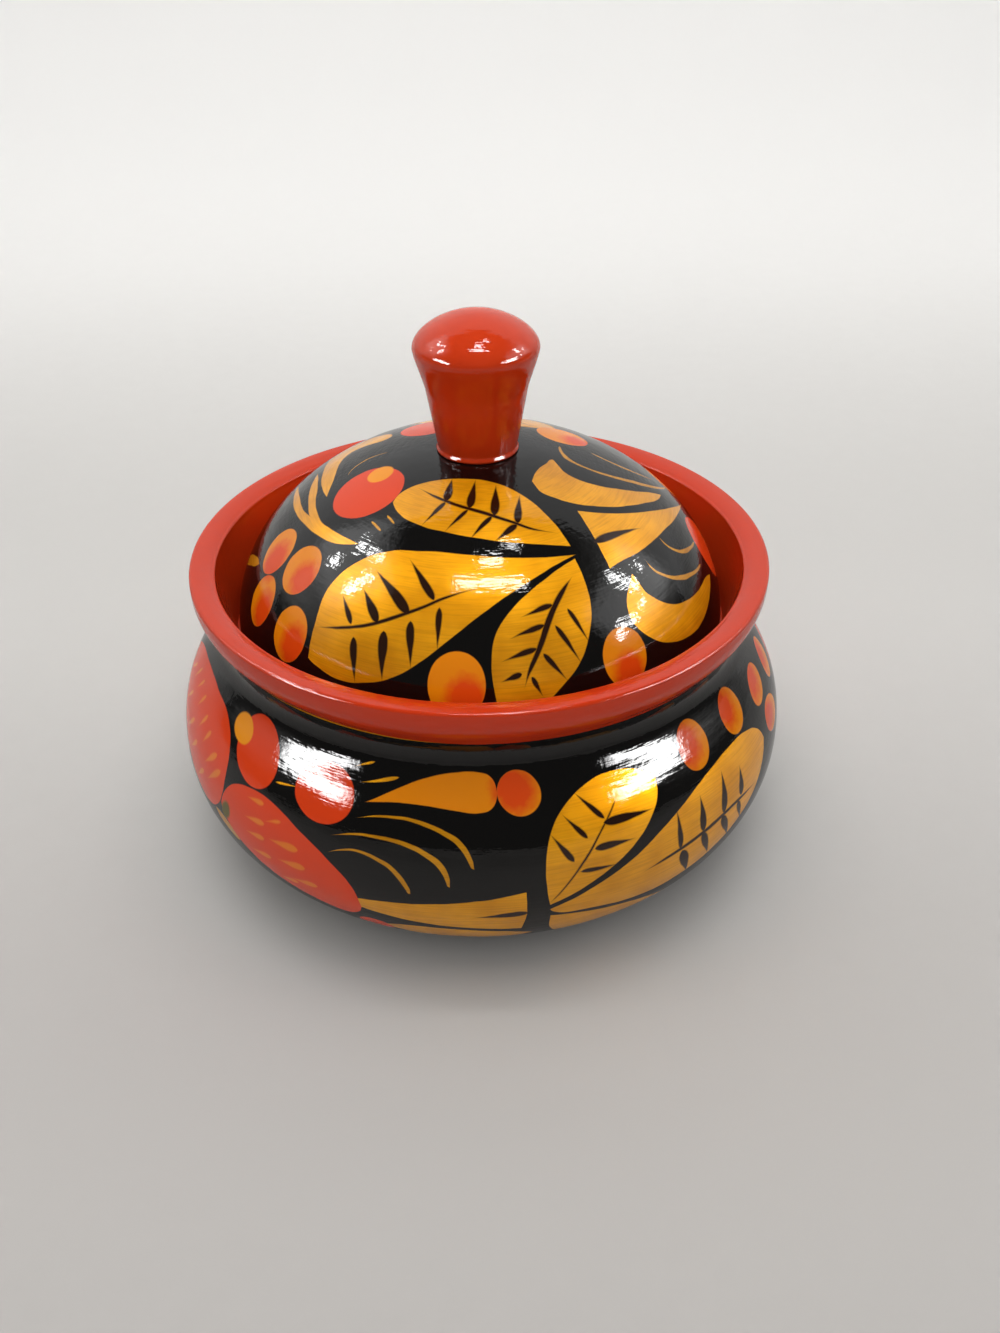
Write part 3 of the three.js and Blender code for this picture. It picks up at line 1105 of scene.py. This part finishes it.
strokes = None
for points, *press in (
    # upper leaf
    (
        ((-9.6, -13.5), (-6.6, -16.2), (-3.3, -18.3), (0.9, -20.1), (5, -21.6), (9.2, -23), (12.8, -23.2)),
        0.8,
        blade,
    ),
    (((-5.3, -17.1), (-4.4, -11.4)), 1.5),
    (((-1.3, -19.1), (-0.3, -12.2)), 1.5),
    (((3, -20.8), (3.3, -13.5)), 1.6),
    (((7, -22.2), (7.4, -15.8)), 1.4),
    (((-5.4, -17.3), (-9.2, -21.8)), 0.9),
    (((-1.5, -19.4), (-5.2, -23.7)), 0.8),
    (((2.6, -20.9), (-1, -25.7)), 1.0),
    (((6.9, -22.5), (3.4, -26)), 1.2),
    # big lower leaf
    (
        ((-29.8, -36), (-25, -37.8), (-20, -38.8), (-15, -38.7), (-10, -37.9), (-5, -36.5), (-1, -35.5)),
        0.7,
        blade,
    ),
    (((-23.3, -37.7), (-24.5, -32.2)), 1.1),
    (((-18.1, -38.9), (-20.3, -32.4)), 1.7),
    (((-12.1, -38.7), (-17.6, -29.8)), 1.9),
    (((-7.5, -36.9), (-11.4, -29.2)), 1.4),
    (((-23.2, -40), (-24.5, -47.3)), 1.6),
    (((-17.1, -40.5), (-18.6, -48.4)), 2.0),
    (((-11.9, -39.8), (-12.6, -47.3)), 1.6),
    (((-6.6, -38.2), (-7.2, -45)), 1.2),
    # right leaf
    (
        ((16.5, -31.8), (14, -36.8), (13, -39.5), (12, -42.8), (11, -45.8), (10, -48.2), (9.3, -50.8)),
        1.2,
        blade,
    ),
    (((13.5, -36.9), (8.3, -39.6)), 1.0),
    (((12.2, -40.6), (6.5, -43.3)), 1.0),
    (((11, -44.7), (5, -47.2)), 1.0),
    (((8.5, -49.1), (4.8, -50.6)), 1.1),
    (((16.2, -37.1), (20.8, -41.7)), 0.9),
    (((14.1, -40.4), (19.6, -45.4)), 1.0),
    (((12.2, -45.4), (17.2, -48.8)), 1.0),
    (((10.4, -49.4), (12.8, -52.2)), 1.0),
    # cut leaf
    (((20.6, -23.2), (29.6, -15.8)), 1.5),
):
    strokes = together(tree, strokes, brush_line(tree, twice, points, *press))

# In orange, the berries around the leaves. In red, three round ones, of which one has a bright spot.
orange = None
red_side = None
for where, middle, size, slant, share in (
    (twice, (-39.1, -13.9), 4.7, -120, 0.6),
    (twice, (-44.8, -21.8), 4.8, -95, 0.55),
    (twice, (-33.3, -22.7), 4.7, -80, 0.5),
    (twice, (-38, -33.5), 5.0, -85, 0.55),
    (twice, (-4, -51.3), 5.65, -55, 0.52),
    (twice, (29.2, -42.1), 5.2, -50, 0.5),
    (spot, (16, 10.2), 5.0, -30, 0.4),
):
    orange = together(tree, orange, dab(tree, where, middle, (size, size), slant))
    red_side = together(tree, red_side, blush(tree, where, middle, (size, size), slant, share))
red = None
for middle, size in (((-19.7, -10.2), 6.8), ((48.7, -2.1), 6.5), ((-9.5, 12.5), 5.5)):
    red = together(tree, red, dab(tree, spot, middle, (size, size), 0))
bright_spot = dab(tree, spot, (-17.5, -6.0), (2.5, 2.3), 30)

gold_paint, grain = gold_colours(tree, outward, along, place, lid_radius)
colour, metal = painted(tree, gold_paint, place, gold, lines, strokes, orange, red_side, red)
colour = over(tree, colour, spot_yellow, cover(tree, bright_spot, spot_edge))

# The rim and the hollow underneath are red.
dome_length = 63
rim_edge = 0.2
under_rim = add(tree, "Math", {0: along, 1: dome_length}, operation="SUBTRACT")
colour = over(tree, colour, collar_red, cover(tree, under_rim.outputs[0], rim_edge))
varnished(tree, colour, metal, grain, outward, along, place, lid_radius, unevenness=1)

lid.data.materials.append(painted_lid)
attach(lid, "lid")
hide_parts("lid")


# The knob: turned from a third piece of wood, with a tenon that is glued into the lid. Dipped in red lacquer,
# which ran down to a thin bead around its foot.
knob_low, knob_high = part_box("knob")
cap_radius = knob_high.x / mm
knob_top = knob_high.z / mm
tenon_end = knob_low.z / mm
tenon_radius = 4.5
tenon_length = 4.6
knob_foot = tenon_end + tenon_length
knob_foot_radius = 7
stem_top_radius = 9
stem_height = 11
stem_top = knob_foot + stem_height
stem_ease = 2.2
cap_widest_height = 18.7
cap_widest = knob_foot + cap_widest_height
cap_under_curve = 1.3
cap_shoulder = 3.0
cap_lean = 0.3
cap_flat = 4.6
stem_slope = (stem_top_radius - knob_foot_radius) / (stem_top - knob_foot)
bead_width = 0.42
bead_widest = 0.15
bead_top_width = 0.18
bead_height = 0.65
bead_sink = 0.25
bead_radius = knob_foot_radius + bead_width
bead_low = knob_foot + bead_widest
bead_top_radius = knob_foot_radius + bead_top_width
bead_top = knob_foot + bead_height

knob = turn(
    "turned_knob",
    (0, tenon_end),
    [
        [(tenon_radius, tenon_end)],
        [(tenon_radius, knob_foot - bead_sink)],
        [(bead_top_radius, knob_foot - bead_sink)],
        [(bead_radius, bead_low), (bead_radius, knob_foot - bead_sink)],
        [(bead_top_radius, bead_top)],
        [(stem_top_radius, stem_top)],
        [
            (cap_radius, cap_widest),
            (stem_top_radius + stem_slope * stem_ease, stem_top + stem_ease),
            (cap_radius, cap_widest - cap_under_curve),
        ],
        [(0, knob_top), (cap_radius - cap_lean, cap_widest + cap_shoulder), (cap_flat, knob_top)],
    ],
    zero_stroke=5,
    zero_mm=0,
)

# Red lacquer on turned wood, thick and glossy: one warm red, clouded where the coat is thinner, with faint
# rings from the lathe under it.
thin_red = "D03D14"
cloud_size = 5 * mm
red_lacquer, tree = new_material("red_lacquer_on_wood")
outward, along, place = lathe_coordinates(tree)
cloud = add(tree, "TexNoise", {"Vector": place, "Scale": 1 / cloud_size, "Detail": 3})
colour = over(tree, linear(collar_red), thin_red, cloud.outputs["Fac"])
grain = turned_noise(tree, outward, along, cap_radius, around_mm=3, along_mm=0.6, detail=3)
varnished(tree, colour, 0, grain, outward, along, place, cap_radius, unevenness=1.2)
knob.data.materials.append(red_lacquer)
lit_by_low_lamps.objects.link(knob)
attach(knob, "lid")
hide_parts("knob")
